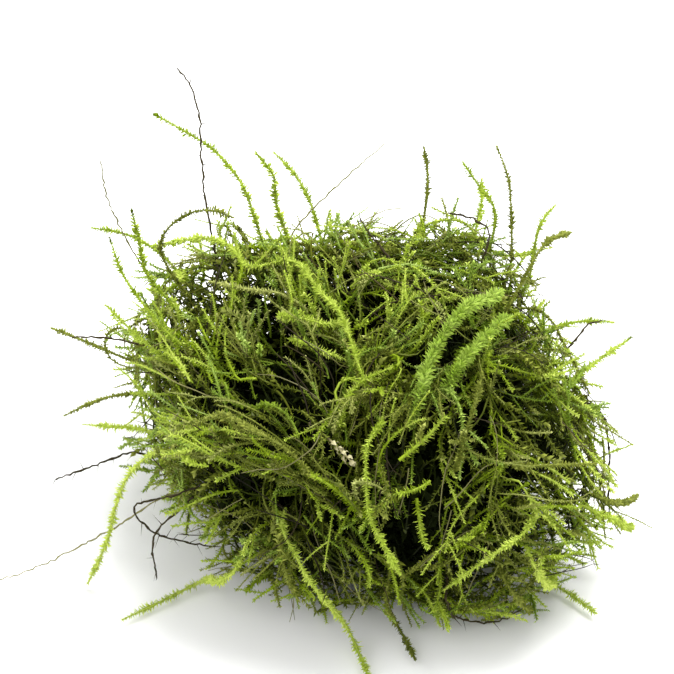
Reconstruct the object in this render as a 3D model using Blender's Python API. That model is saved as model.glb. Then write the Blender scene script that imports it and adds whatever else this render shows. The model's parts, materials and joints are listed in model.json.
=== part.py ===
"""A loose clump of water moss, lying on a flat surface.

The clump is a mat of interwoven shoots, and the leafy shoots and bare stems that stand clear of it.
The mat is one solid, with the tufts, lumps and hollows of its surface. Each shoot or stem is a solid
of its own, whose root end sits in a socket in the mat. Metres, +Z up. The origin is the middle of the
face that the mat rests on.
"""

import math
import random
from dataclasses import dataclass
from enum import Enum

import bmesh
import bpy
from mathutils import Matrix, Vector, noise
from mathutils.bvhtree import BVHTree
from mathutils.kdtree import KDTree

MM = 0.001
SEED = 7

# The mat: a squarish cushion, cut off flat where it rests.
MAT_HALF = Vector((43, 40, 28)) * MM
MAT_SAG = 31 * MM
MAT_MIDDLE_HEIGHT = 26.5 * MM
MAT_SQUARENESS = 2.8
MAT_SKEW = -0.25
MAT_SEGMENTS = 36
MAT_RINGS = 18
LUMP_HEIGHT = 4.5 * MM
LUMP_SIZE = 17 * MM
RIDGE_HEIGHT = 4 * MM
RIDGE_SIZE = 7.5 * MM

# Where the whole cushion bulges or falls in: place in mm, and height in mm.
BULGES = ((Vector((24, 30, 46)), 4.5), (Vector((42, 12, 41)), -7))
BULGE_RADIUS = 13 * MM

FLOOR_BLOCK = 200 * MM

# Hollows that show dark between the shoots: (right, up) in mm as seen from the viewing side, and
# depth in mm.
HOLLOWS = (
    (-6.5, 28, 7),
    (9, 31.5, 6),
    (-5.5, 43, 5),
    (24, 18.5, 6),
    (29, 8, 5),
    (-4, 11, 6),
    (-26, 38, 5),
)
HOLLOW_RADIUS = 5 * MM

# Tufts: short bundles of shoots that lie on the mat, grown together with it.
TUFTS = 52
GOLDEN_SHARE = 0.618034
TUFTED_SLOPE = 1.75
TUFT_LENGTH = (12 * MM, 20 * MM)
TUFT_HALF_WIDTH = 2.6 * MM
TUFT_RISE = 4.2 * MM
TUFT_RISE_SHARES = (0.6, 1.1)
TUFT_ROOT_DEPTH = 4 * MM
TUFT_TAPER = (0.7, 1, 0.16)
TUFT_BEND_AT = 0.45
TUFT_BEND = 2 * MM

# Shoots and stems.
SOCKET_DEPTH = 4.5 * MM
SOCKET_EASE = 1.2
GAP = 0.32 * MM
FLOOR_GAP = 0.25 * MM
STEP = 1 * MM
WELD = 0.002 * MM
ROOTED = 3
ROOT_TURNS = (0, 30, -30, 60, -60)
ROOT_STEEPNESS = 1.2
BEND_ROUNDS = 4
ROUTING_ROUNDS = 90
PUSH_SHARE = 0.3
SMOOTHING = 0.2
CROWDED_LIFT = 1.5
TIP_WIDTH = 0.35
LEAST_TIP = 0.2 * MM
VIEWER_DISTANCE = 200 * MM
LOOK_DEPTHS = range(-60, 61, 2)
VIEW_ELEVATION = math.radians(40)
VIEW = Vector((0, math.cos(VIEW_ELEVATION), -math.sin(VIEW_ELEVATION)))
UP = Vector((0, 0, 1))
PROBE = Vector((0.11, 0.07, 1)).normalized()


@dataclass(frozen=True)
class Kind:
    """What the shoots of one kind share. Leaf whorls make a shoot's width swell and shrink."""

    finish: str
    half_width: float
    ring_pitch: float
    whorls: float
    colour: tuple
    roughness: float


FRESH = Kind("fresh_leaves", 1.05 * MM, 3 * MM, 0.28, (0.36, 0.56, 0.06, 1), 0.5)
BROAD = Kind("broad_leaves", 1.7 * MM, 3 * MM, 0.28, (0.2, 0.46, 0.05, 1), 0.5)
OLIVE = Kind("olive_leaves", 0.9 * MM, 4 * MM, 0.22, (0.16, 0.2, 0.05, 1), 0.6)
WIRY = Kind("bare_stem", 0.4 * MM, 5 * MM, 0, (0.035, 0.028, 0.02, 1), 0.5)
HAIR = Kind("hair_stem", 0.28 * MM, 6 * MM, 0, (0.12, 0.1, 0.07, 1), 0.6)
DRY = Kind("dry_leaves", 0.8 * MM, 2 * MM, 0.15, (0.6, 0.5, 0.3, 1), 0.8)
KINDS = (FRESH, BROAD, OLIVE, WIRY, HAIR, DRY)
WIDEST = max(kind.half_width * (1 + kind.whorls) for kind in KINDS)


class Lie(Enum):
    """How a shoot lies."""

    AIR = "stands clear of the mat"
    OVER = "lies over the mat"
    FLOOR = "comes down to the floor and lies on it"


@dataclass(frozen=True)
class Strand:
    """A shoot or stem by its course, root first, as seen: (right, up) in mm from the origin.

    tip_depth is how far the tip of one in the air is from the viewer, in mm along +Y. lift is how
    high one that lies over the mat arches off it at mid-length, in mm.
    """

    name: str
    kind: Kind
    lie: Lie
    seen: tuple
    tip_depth: float = 0
    lift: float = 0


STRANDS = (
    # Shoots over the front of the mat.
    Strand("fork_shoot", OLIVE, Lie.OVER, ((16.8, 11), (18.4, 16), (20.5, 22), (22, 28)), 0, 1),
    Strand(
        "front_left_shoot",
        OLIVE,
        Lie.OVER,
        ((-11, 9), (-15, 14), (-20, 17), (-26, 17.5), (-32, 17.5)),
        0,
        2,
    ),
    Strand(
        "upper_left_frond",
        OLIVE,
        Lie.OVER,
        ((-14, 42.5), (-19, 43.8), (-24, 44.5), (-30, 45.6)),
        0,
        1,
    ),
    Strand(
        "lower_curl_shoot",
        FRESH,
        Lie.OVER,
        ((-13, 34.5), (-9.8, 32), (-6.4, 31), (-3, 32)),
        0,
        1,
    ),
    Strand(
        "upper_curl_shoot",
        FRESH,
        Lie.OVER,
        ((-17, 39.5), (-12.4, 36), (-8, 35.2), (-4.6, 37)),
        0,
        1,
    ),
    Strand(
        "low_fork_shoot",
        FRESH,
        Lie.OVER,
        ((31, -0.5), (26, -3.8), (21, -7), (15, -12.6)),
        0,
        2,
    ),
    Strand("dry_curl", DRY, Lie.OVER, ((-8.8, 17), (-6.4, 14.4), (-4, 12)), 0, 1),
    Strand("right_level_shoot", OLIVE, Lie.OVER, ((29, 10.6), (36, 11.2), (43, 11.4)), 0, 1),
    Strand(
        "inner_frond",
        BROAD,
        Lie.OVER,
        ((15.4, 26.4), (20, 31.4), (23, 34.6), (27, 37.6)),
        0,
        1.5,
    ),
    Strand(
        "big_frond",
        BROAD,
        Lie.OVER,
        ((9, 22.8), (12.5, 27.4), (16, 31), (19.3, 35), (22, 39.4), (24.4, 43)),
        0,
        3,
    ),
    Strand("blunt_shoot", FRESH, Lie.OVER, ((-5, 19), (-3.1, 24.6), (0, 27), (4.6, 29)), 0, 2),
    Strand(
        "long_front_shoot",
        FRESH,
        Lie.OVER,
        ((2.4, 18), (0.3, 12), (0, 6), (1, 1), (3, -4), (5.6, -8.6)),
        0,
        2,
    ),
    Strand(
        "bright_arch_shoot",
        FRESH,
        Lie.OVER,
        (
            (-1.2, 28),
            (-4.6, 35),
            (-10.2, 41.2),
            (-14.8, 45.6),
            (-20.4, 50),
            (-25.6, 52.2),
            (-31, 53.4),
            (-36.5, 53.8),
            (-42.4, 53.4),
        ),
        0,
        4,
    ),
    Strand(
        "foot_blunt_shoot",
        OLIVE,
        Lie.OVER,
        ((-17, -4.6), (-14.4, -10), (-12.8, -14.6)),
        0,
        0.5,
    ),
    # Shoots and stems that stand up over the top.
    Strand(
        "tall_stem",
        WIRY,
        Lie.AIR,
        ((-30.6, 54), (-31.8, 61), (-32.4, 66), (-32.8, 73), (-33.2, 79), (-35, 85.4), (-37.6, 88.4)),
        44,
    ),
    Strand(
        "top_left_shoot",
        FRESH,
        Lie.AIR,
        ((-21, 56), (-24.2, 64.4), (-26.4, 68), (-30.6, 72.6), (-35.4, 75.6), (-41.8, 79.2)),
        38,
    ),
    Strand(
        "top_hooked_shoot",
        FRESH,
        Lie.AIR,
        ((-16, 55.5), (-18.4, 63), (-18.2, 67), (-21.8, 71.4)),
        34,
    ),
    Strand(
        "top_left_hair",
        HAIR,
        Lie.AIR,
        ((-43, 46), (-49.2, 57.6), (-51.6, 64), (-52.2, 70)),
        26,
    ),
    Strand(
        "top_arch_shoot",
        OLIVE,
        Lie.AIR,
        ((-37.5, 46), (-41, 53.6), (-36.4, 59), (-31, 60.4), (-26.6, 59)),
        25,
    ),
    Strand(
        "left_dark_tip_shoot",
        FRESH,
        Lie.AIR,
        ((-38.6, 42), (-43.4, 48), (-44.4, 53), (-46, 60)),
        16,
    ),
    Strand(
        "left_slim_shoot",
        FRESH,
        Lie.AIR,
        ((-40, 37), (-44.6, 43), (-48, 48), (-50.2, 54.6)),
        12,
    ),
    Strand("left_small_shoot", FRESH, Lie.AIR, ((-42, 33), (-46, 36.6), (-50.8, 41.4)), 4),
    Strand("left_level_hair", WIRY, Lie.AIR, ((-43, 33.6), (-50.4, 35.2), (-58, 35.4)), 6),
    Strand("top_long_hair", HAIR, Lie.AIR, ((-17, 57), (-5.4, 66), (3.6, 73.8)), 40),
    Strand("top_twig", WIRY, Lie.AIR, ((5.6, 49), (1, 54), (-1.6, 58.4)), 30),
    Strand(
        "top_right_shoot",
        FRESH,
        Lie.AIR,
        ((24.4, 53), (25.4, 60.4), (22.8, 64.4), (19, 70)),
        38,
    ),
    Strand(
        "top_right_stem",
        OLIVE,
        Lie.AIR,
        ((28.6, 50), (28.4, 60), (27.8, 67), (25.6, 72.8)),
        36,
    ),
    Strand("right_rising_shoot", FRESH, Lie.AIR, ((32, 46.4), (33.8, 57), (37, 61.2)), 30),
    Strand("right_leaning_shoot", OLIVE, Lie.AIR, ((28, 42.4), (34.4, 53.4), (40, 56)), 24),
    Strand("top_bent_twig", WIRY, Lie.AIR, ((23, 51), (24, 56), (22, 58.2), (16, 60)), 28),
    # Shoots and stems at the right.
    Strand("upper_right_stem", OLIVE, Lie.AIR, ((33, 41), (36.4, 37), (39, 33), (43.6, 24.4)), 2),
    Strand("right_shoot", FRESH, Lie.AIR, ((40, 27.4), (46, 31.6), (51.4, 35.2)), 4),
    Strand("right_hair", WIRY, Lie.AIR, ((37, 31), (41.6, 37), (46, 38.6)), 10),
    Strand(
        "right_edge_stem",
        WIRY,
        Lie.AIR,
        ((43, 23), (46.4, 20), (47.4, 14), (47.6, 6), (47.8, 0)),
        -12,
    ),
    Strand("right_low_shoot", FRESH, Lie.AIR, ((44, 1.6), (49, -1.4), (52.6, -2.4)), -8),
    Strand("right_low_sprig", OLIVE, Lie.AIR, ((45, 3.6), (50.6, 3), (53.6, 4)), -4),
    # Shoots and stems at the left.
    Strand(
        "left_level_shoot",
        FRESH,
        Lie.AIR,
        ((-41, 16.6), (-46, 17.6), (-50.2, 17.8), (-56, 18.2)),
        -2,
    ),
    Strand(
        "left_wiry_stem",
        WIRY,
        Lie.AIR,
        ((-41.6, 11), (-47.6, 12.4), (-53, 10.3), (-61.6, 7.2)),
        -7,
    ),
    Strand(
        "left_hanging_shoot",
        FRESH,
        Lie.AIR,
        ((-41, 13.6), (-46.4, 9), (-49.4, 2), (-50.8, -4), (-55, -13.4)),
        -22,
    ),
    Strand(
        "left_long_hair",
        HAIR,
        Lie.AIR,
        ((-39.6, 4.4), (-51, -2.8), (-62.2, -8.6), (-73.4, -13.4)),
        -20.5,
    ),
    Strand(
        "left_swept_stem",
        WIRY,
        Lie.AIR,
        ((-36, 5), (-46, 2.4), (-41, -3), (-34.8, -4.8), (-29, -3.6)),
        -24,
    ),
    Strand("left_hanging_twig", WIRY, Lie.AIR, ((-38, 0), (-42, -3.6), (-41.4, -12)), -22),
    # Shoots that lie on the floor.
    Strand(
        "floor_right_shoot",
        FRESH,
        Lie.FLOOR,
        ((31, -7), (35.2, -11.6), (39.8, -14.8), (44.6, -18.8)),
    ),
    Strand(
        "floor_front_shoot",
        FRESH,
        Lie.FLOOR,
        ((-17.5, -1.6), (-12.4, -7), (-9, -11.6), (-6.2, -16.6), (-3.2, -22), (-1.3, -27.5), (1, -32.4)),
    ),
    Strand(
        "floor_left_shoot",
        FRESH,
        Lie.FLOOR,
        ((-25, -8), (-31, -12), (-36.5, -15.4), (-41.4, -17), (-47.8, -20)),
    ),
    Strand("foot_tuft", OLIVE, Lie.FLOOR, ((3.6, -14), (5, -19.4), (7, -23.4), (9.2, -27.2))),
    Strand("foot_loop", WIRY, Lie.FLOOR, ((15, -13), (20.6, -19.8), (25.6, -22), (29.2, -17.6))),
    Strand("foot_twig", OLIVE, Lie.FLOOR, ((25.6, -10), (28, -15), (31.6, -18.4))),
)

# Shoots that leave the mat where the viewing side doesn't show it:
# heading in degrees from +X, height of the root, length, climb in degrees, and kind.
FAR_SHOOTS = (
    (62, 34, 24, 38, FRESH),
    (84, 18, 22, 8, OLIVE),
    (104, 40, 27, 44, FRESH),
    (121, 24, 24, 14, WIRY),
    (139, 36, 22, 30, FRESH),
    (40, 22, 22, 16, FRESH),
    (152, 12, 20, -8, OLIVE),
    (95, 9, 21, -8, FRESH),
    (72, 46, 21, 52, OLIVE),
    (166, 30, 20, 20, OLIVE),
)
FAR_SAG = 0.3
FAR_TURN = math.radians(16)


def new_collection(name):
    """An empty collection in the scene."""
    collection = bpy.data.collections.new(name)
    bpy.context.scene.collection.children.link(collection)
    return collection


def material(name, colour, roughness):
    """A plain coloured material."""
    made = bpy.data.materials.new(name)
    made.use_nodes = True
    shader = made.node_tree.nodes["Principled BSDF"]
    shader.inputs["Base Color"].default_value = colour
    shader.inputs["Roughness"].default_value = roughness
    shader.inputs["Metallic"].default_value = 0
    return made


def superellipsoid(direction):
    """The point of the mat's plain form in a direction from its middle."""
    half_height = MAT_HALF.z if direction.z > 0 else MAT_SAG
    parts = (direction.x / MAT_HALF.x, direction.y / MAT_HALF.y, direction.z / half_height)
    reach = sum(abs(part) ** MAT_SQUARENESS for part in parts) ** (-1 / MAT_SQUARENESS)
    point = direction * reach
    point.x += MAT_SKEW * point.y
    point.z += MAT_MIDDLE_HEIGHT
    return point


def as_seen(point):
    """(right, up) of a point as the viewer sees it."""
    return point.x, point.y * math.sin(VIEW_ELEVATION) + point.z * math.cos(VIEW_ELEVATION)


def at_depth(right, up, depth):
    """The point seen at (right, up) that is depth along +Y."""
    return Vector((right, depth, (up - depth * math.sin(VIEW_ELEVATION)) / math.cos(VIEW_ELEVATION)))


def on_floor(right, up, height):
    """The point seen at (right, up) that is height over the floor."""
    return Vector((right, (up - height * math.cos(VIEW_ELEVATION)) / math.sin(VIEW_ELEVATION), height))


def hollow_depth(point, outward):
    """How deep the hollows of the viewing side are at a point of the mat's surface."""
    if outward.dot(VIEW) > 0:
        return 0
    right, up = as_seen(point)
    depth = 0
    for hollow_right, hollow_up, hollow in HOLLOWS:
        away = math.hypot(right - hollow_right * MM, up - hollow_up * MM) / HOLLOW_RADIUS
        depth += hollow * MM * math.exp(-away * away)
    return depth


def bulge(point):
    """How far the bulges lift a point of the mat's surface, negative where it falls in."""
    height = 0
    for middle, most in BULGES:
        away = (point - middle * MM).length / BULGE_RADIUS
        height += most * MM * math.exp(-away * away)
    return height


def in_fixed_order(form, name):
    """A mesh of the form, which it frees, in an order that never varies between runs."""
    order = sorted(form.verts, key=lambda vert: vert.co[:])
    for index, vert in enumerate(order):
        vert.index = index
    faces = []
    for face in form.faces:
        corners = [vert.index for vert in face.verts]
        start = corners.index(min(corners))
        faces.append(corners[start:] + corners[:start])
    mesh = bpy.data.meshes.new(name)
    mesh.from_pydata([vert.co[:] for vert in order], [], sorted(faces))
    form.free()
    return mesh


def mat_body(collection):
    """The mat's cushion, with bulges, lumps, ridges and hollows. It is cut off at the floor later."""
    form = bmesh.new()
    bmesh.ops.create_uvsphere(form, u_segments=MAT_SEGMENTS, v_segments=MAT_RINGS, radius=1)
    for vert in form.verts:
        outward = vert.co.normalized()
        point = superellipsoid(outward)
        relief = bulge(point) + LUMP_HEIGHT * noise.noise(point / LUMP_SIZE)
        relief += RIDGE_HEIGHT * noise.noise(point / RIDGE_SIZE)
        vert.co = point + outward * (relief - hollow_depth(point, outward))
    body = bpy.data.objects.new("moss_mat", in_fixed_order(form, "moss_mat"))
    collection.objects.link(body)
    return body


def floor_cutter(collection):
    """A block under the floor, which cuts the mat off flat."""
    form = bmesh.new()
    bmesh.ops.create_cube(form, size=FLOOR_BLOCK)
    bmesh.ops.translate(form, verts=form.verts, vec=(0, 0, -FLOOR_BLOCK / 2))
    mesh = bpy.data.meshes.new("floor_block")
    form.to_mesh(mesh)
    form.free()
    collection.objects.link(bpy.data.objects.new("floor_block", mesh))


def surface_of(body):
    """A search tree of an object's evaluated surface."""
    bpy.context.view_layer.update()
    return BVHTree.FromObject(body, bpy.context.evaluated_depsgraph_get())


def tube(name, points, radii, collection):
    """A square tube along points, as a closed mesh: a bevelled poly curve with its caps welded on."""
    curve = bpy.data.curves.new(name, "CURVE")
    curve.dimensions = "3D"
    curve.bevel_depth = 1
    curve.bevel_resolution = 0
    curve.use_fill_caps = True
    spline = curve.splines.new("POLY")
    spline.points.add(len(points) - 1)
    for target, point, radius in zip(spline.points, points, radii):
        target.co = (*point, 1)
        target.radius = radius
    guide = bpy.data.objects.new(name, curve)
    bpy.context.scene.collection.objects.link(guide)
    bpy.context.view_layer.update()
    evaluated = guide.evaluated_get(bpy.context.evaluated_depsgraph_get())
    mesh = bpy.data.meshes.new_from_object(evaluated)
    bpy.data.objects.remove(guide)
    form = bmesh.new()
    form.from_mesh(mesh)
    bmesh.ops.remove_doubles(form, verts=form.verts, dist=WELD)
    bmesh.ops.recalc_face_normals(form, faces=form.faces)
    form.to_mesh(mesh)
    form.free()
    mesh.name = name
    made = bpy.data.objects.new(name, mesh)
    collection.objects.link(made)
    return made


def boolean(body, operation, collection):
    """Joins the objects of a collection to body, or cuts them from it.

    The Manifold solver keeps the many crossing tubes closed, where the Exact one leaves slivers.
    """
    modifier = body.modifiers.new(operation.lower(), "BOOLEAN")
    modifier.operation = operation
    modifier.solver = "MANIFOLD"
    modifier.operand_type = "COLLECTION"
    modifier.collection = collection


def keep_largest_shell(form):
    """Deletes the crumbs and sealed bubbles that joining and cutting can leave."""
    shells = []
    found = set()
    for first in form.faces:
        if first in found:
            continue
        found.add(first)
        shell = [first]
        for face in shell:
            joined = [edge for edge in face.edges if len(edge.link_faces) == 2]
            fresh = [face for edge in joined for face in edge.link_faces if face not in found]
            found.update(fresh)
            shell.extend(dict.fromkeys(fresh))
        shells.append(shell)
    shells.sort(key=len)
    for shell in shells[:-1]:
        bmesh.ops.delete(form, geom=shell, context="FACES")


def settle_modifiers(body):
    """Gives an object its evaluated mesh in place of its modifiers."""
    bpy.context.view_layer.update()
    form = bmesh.new()
    form.from_object(body, bpy.context.evaluated_depsgraph_get())
    body.modifiers.clear()
    bmesh.ops.remove_doubles(form, verts=form.verts, dist=WELD)
    bmesh.ops.dissolve_degenerate(form, edges=form.edges, dist=WELD)
    keep_largest_shell(form)
    body.data = in_fixed_order(form, body.name)


def hide(collection):
    """Keeps the objects of a collection as helpers only."""
    for helper in collection.objects:
        helper.hide_render = True
        helper.display_type = "WIRE"


def add_tufts(body, helpers):
    """Grows tufts on the mat: short tapered bundles that leave it at a low angle, with a free tip."""
    surface = surface_of(body)
    draw = random.Random(SEED)
    for index in range(TUFTS):
        turn = math.tau * (index * GOLDEN_SHARE % 1)
        slope = math.acos(1 - TUFTED_SLOPE * (index + 0.5) / TUFTS)
        outward = Vector((math.cos(turn), math.sin(turn), 0)) * math.sin(slope) + UP * math.cos(slope)
        root, normal, _, _ = surface.find_nearest(superellipsoid(outward))
        drawn = Vector((draw.uniform(-1, 1), draw.uniform(-1, 1), draw.uniform(-1, 1)))
        along = normal.cross(drawn).normalized()
        inner = root - normal * TUFT_ROOT_DEPTH - along * TUFT_ROOT_DEPTH / 2
        near, out, _, _ = surface.find_nearest(root + along * draw.uniform(*TUFT_LENGTH))
        tip = near + out * TUFT_RISE * draw.uniform(*TUFT_RISE_SHARES)
        tip.z = max(tip.z, TUFT_HALF_WIDTH + FLOOR_GAP)
        points = [inner, inner.lerp(tip, TUFT_BEND_AT) + normal * TUFT_BEND, tip]
        radii = [TUFT_HALF_WIDTH * taper for taper in TUFT_TAPER]
        tube(f"tuft_{index}", points, radii, helpers)
    hide(helpers)
    boolean(body, "UNION", helpers)
    settle_modifiers(body)


def smooth_line(points):
    """Points about STEP apart on a smooth curve through the given points."""
    ends = [points[0] * 2 - points[1]] + list(points) + [points[-1] * 2 - points[-2]]
    line = []
    for before, start, end, after in zip(ends, ends[1:], ends[2:], ends[3:]):
        count = max(2, round((end - start).length / STEP))
        for step in range(count):
            t = step / count
            line.append(
                start
                + (end - before) * (0.5 * t)
                + (before * 2 - start * 5 + end * 4 - after) * (0.5 * t * t)
                + (start * 3 - before - end * 3 + after) * (0.5 * t * t * t)
            )
    line.append(points[-1].copy())
    return line


def seen_on_mat(right, up, surface):
    """The mat's point seen at (right, up) and its normal, or None for both where none is."""
    point, normal, _, _ = surface.ray_cast(at_depth(right, up, -VIEWER_DISTANCE), VIEW)
    return point, normal


def mat_point(right, up, surface):
    """The mat's point seen at (right, up) and its normal, or the nearest to the line of sight."""
    point, normal = seen_on_mat(right, up, surface)
    if point is not None:
        return point, normal
    looks = (surface.find_nearest(at_depth(right, up, depth * MM)) for depth in LOOK_DEPTHS)
    nearest = min(looks, key=lambda look: look[3])
    return nearest[0], nearest[1]


def first_course(strand, surface):
    """The smooth course of a strand from the mat to its tip, before it is moved clear."""
    seen = [(right * MM, up * MM) for right, up in strand.seen]
    root, _ = mat_point(*seen[0], surface)
    points = [root]
    for index, (right, up) in enumerate(seen[1:], 1):
        share = index / (len(seen) - 1)
        if strand.lie is Lie.OVER:
            point, normal = mat_point(right, up, surface)
            if seen_on_mat(right, up, surface)[0] is None:
                points.append(at_depth(right, up, point.y))
            else:
                rise = strand.lift * MM * math.sin(math.pi * min(share, 0.9))
                points.append(point + normal * rise)
        elif strand.lie is Lie.AIR:
            points.append(at_depth(right, up, root.y + (strand.tip_depth * MM - root.y) * share))
        else:
            point, _ = seen_on_mat(right, up, surface)
            points.append(point or on_floor(right, up, strand.kind.half_width + FLOOR_GAP))
    return smooth_line(points)


def far_course(heading, height, length, climb, surface, turn):
    """The smooth course of a shoot on the sides out of view: out, along and sagging."""
    heading = math.radians(heading)
    start = Vector((math.cos(heading), math.sin(heading), 0)) * MAT_HALF.x * 2 + UP * height * MM
    root, _, _, _ = surface.ray_cast(start, Vector((-math.cos(heading), -math.sin(heading), 0)))
    points = [root]
    for share in (0.33, 0.67, 1):
        angle = heading + turn * share
        out = Vector((math.cos(angle), math.sin(angle), math.tan(math.radians(climb))))
        points.append(root + (out.normalized() * share - UP * FAR_SAG * share * share) * length * MM)
    return smooth_line(points)


def tree_of(placed):
    """A search tree of the points of the strands already placed."""
    tree = KDTree(len(placed))
    for index, (point, _) in enumerate(placed):
        tree.insert(point, index)
    tree.balance()
    return tree


def way_out(point, surface):
    """How deep a point is inside a surface, negative outside it, and the direction that leads out."""
    near, normal, _, distance = surface.find_nearest(point)
    hit, side, _, _ = surface.ray_cast(point, PROBE)
    inside = hit is not None and side.dot(PROBE) > 0
    if distance < GAP / 10:
        return 0, normal
    if inside:
        return distance, (near - point).normalized()
    return -distance, (point - near).normalized()


def push_clear(point, width, surface, placed, tree, rooted):
    """How far a point must move to be clear of the mat, the strands already placed and the floor.

    A point where the strand leaves the mat is rooted: it moves along the mat's surface only.
    """
    depth, normal = way_out(point, surface)
    push = Vector() if rooted else normal * max(depth + width + GAP, 0)
    for other, index, apart in tree.find_range(point, width + WIDEST + GAP * 2):
        room = width + placed[index][1] + GAP * 2
        if apart < room:
            away = (point - other).normalized()
            way = away - normal * away.dot(normal) if rooted else away + normal * CROWDED_LIFT
            push += way.normalized() * (room - apart)
    push.z = max(push.z, width + FLOOR_GAP - point.z)
    return push


def settle(line, width, surface, placed, tree):
    """Moves a course clear of what it meets, and keeps it smooth. Its first points stay on the mat."""
    for _ in range(ROUTING_ROUNDS):
        pushes = [
            push_clear(point, width, surface, placed, tree, i < ROOTED)
            for i, point in enumerate(line)
        ]
        if max(push.length for push in pushes) < GAP / 10:
            break
        for i in range(len(line)):
            around = pushes[max(i - 2, 0) : i + 3]
            widest = max(around, key=lambda push: push.length)
            line[i] = line[i] + (widest + pushes[i]) * PUSH_SHARE
        for i in range(ROOTED, len(line) - 1):
            line[i] = line[i] * (1 - 2 * SMOOTHING) + (line[i - 1] + line[i + 1]) * SMOOTHING
    return line


def least_room(points, width, placed, tree):
    """The least room between points of a strand and the strands already placed."""
    room = GAP * 4
    for point in points:
        for _, index, apart in tree.find_range(point, width + WIDEST + GAP * 4):
            room = min(room, apart - width - placed[index][1])
    return room


def root_line(line, width, core, placed, tree):
    """The part of a strand that is inside the mat, from its root end to where its course starts.

    It goes in straight on from the course, or else turned about the mat's normal to miss the strands
    already placed.
    """
    near, normal, _, _ = core.find_nearest(line[0])
    inward = -(normal * ROOT_STEEPNESS + (line[ROOTED] - line[0]).normalized()).normalized()
    roots = []
    for turn in ROOT_TURNS:
        end = near + Matrix.Rotation(math.radians(turn), 3, normal) @ inward * SOCKET_DEPTH
        count = round((line[0] - end).length / STEP)
        roots.append([end.lerp(line[0], step / count) for step in range(count)])
    return max(roots, key=lambda root: least_room(root, width, placed, tree))


def strand_solid(name, kind, line, surface, core, placed, collection, cutters):
    """Makes a strand's tube along its course, with its root in a socket of the mat."""
    width = kind.half_width * (1 + kind.whorls)
    tree = tree_of(placed)
    line = settle(line, width, surface, placed, tree)
    line = root_line(line, width, core, placed, tree) + line
    for _ in range(BEND_ROUNDS):
        line[1:-1] = [(a + b * 2 + c) / 4 for a, b, c in zip(line, line[1:], line[2:])]
    pitch = round(kind.ring_pitch / STEP)
    picks = list(range(0, len(line) - 1, pitch)) + [len(line) - 1]
    points = [line[pick] for pick in picks]
    radii = [kind.half_width * (1 + kind.whorls * (1 if i % 2 else -1)) for i in range(len(points))]
    radii[-1] = max(kind.half_width * TIP_WIDTH, LEAST_TIP)
    made = tube(name, points, radii, collection)
    placed.extend((point.copy(), width) for point in line)
    last = 1
    for i, (start, end) in enumerate(zip(points, points[1:])):
        for share in (0.25, 0.5, 0.75, 1):
            if way_out(start.lerp(end, share), surface)[0] > -width - GAP:
                last = i + 1
    fat = [(radius + GAP) * SOCKET_EASE for radius in radii[: last + 1]]
    back = (points[0] - points[1]).normalized() * GAP
    on = (points[last] - points[last - 1]).normalized() * GAP
    course = [points[0] + back] + points[1:last] + [points[last] + on]
    tube(f"{name}_socket", course, fat, cutters)
    return made


def build():
    """Builds the clump."""
    for old in list(bpy.data.objects):
        bpy.data.objects.remove(old)
    clump = new_collection("moss_clump")
    tufts = new_collection("tufts")
    cutters = new_collection("sockets")
    mat = mat_body(clump)
    mat.data.materials.append(material("matted_moss", (0.08, 0.12, 0.03, 1), 0.7))
    core = surface_of(mat)
    add_tufts(mat, tufts)
    surface = surface_of(mat)
    placed = []
    finishes = {}
    courses = [(strand.name, strand.kind, first_course(strand, surface)) for strand in STRANDS]
    for index, (heading, height, length, climb, kind) in enumerate(FAR_SHOOTS, 1):
        turn = FAR_TURN if index % 2 else -FAR_TURN
        course = far_course(heading, height, length, climb, surface, turn)
        courses.append((f"back_shoot_{index}", kind, course))
    for name, kind, course in courses:
        made = strand_solid(name, kind, course, surface, core, placed, clump, cutters)
        if kind not in finishes:
            finishes[kind] = material(kind.finish, kind.colour, kind.roughness)
        made.data.materials.append(finishes[kind])
    floor_cutter(cutters)
    hide(cutters)
    boolean(mat, "DIFFERENCE", cutters)
    settle_modifiers(mat)


build()
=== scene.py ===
"""Looks of a loose clump of water moss.

The frame gives one solid for the matted body and one for each shoot and stem that stands out of
it. Each of those shoots is grown again here, leaf by leaf, along the line of its own solid, and
the matted body is grown as layers of interwoven shoots and dead stems that fill its solid.
Sizes are in metres. X runs to the right, Y away from the front and Z up.
"""

import json
import logging
import math
import random
from collections import defaultdict
from collections.abc import Iterable, Sequence
from dataclasses import dataclass, field
from enum import Enum

import bmesh
import bpy
import numpy as np
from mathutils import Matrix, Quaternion, Vector, noise
from mathutils.bvhtree import BVHTree

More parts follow.
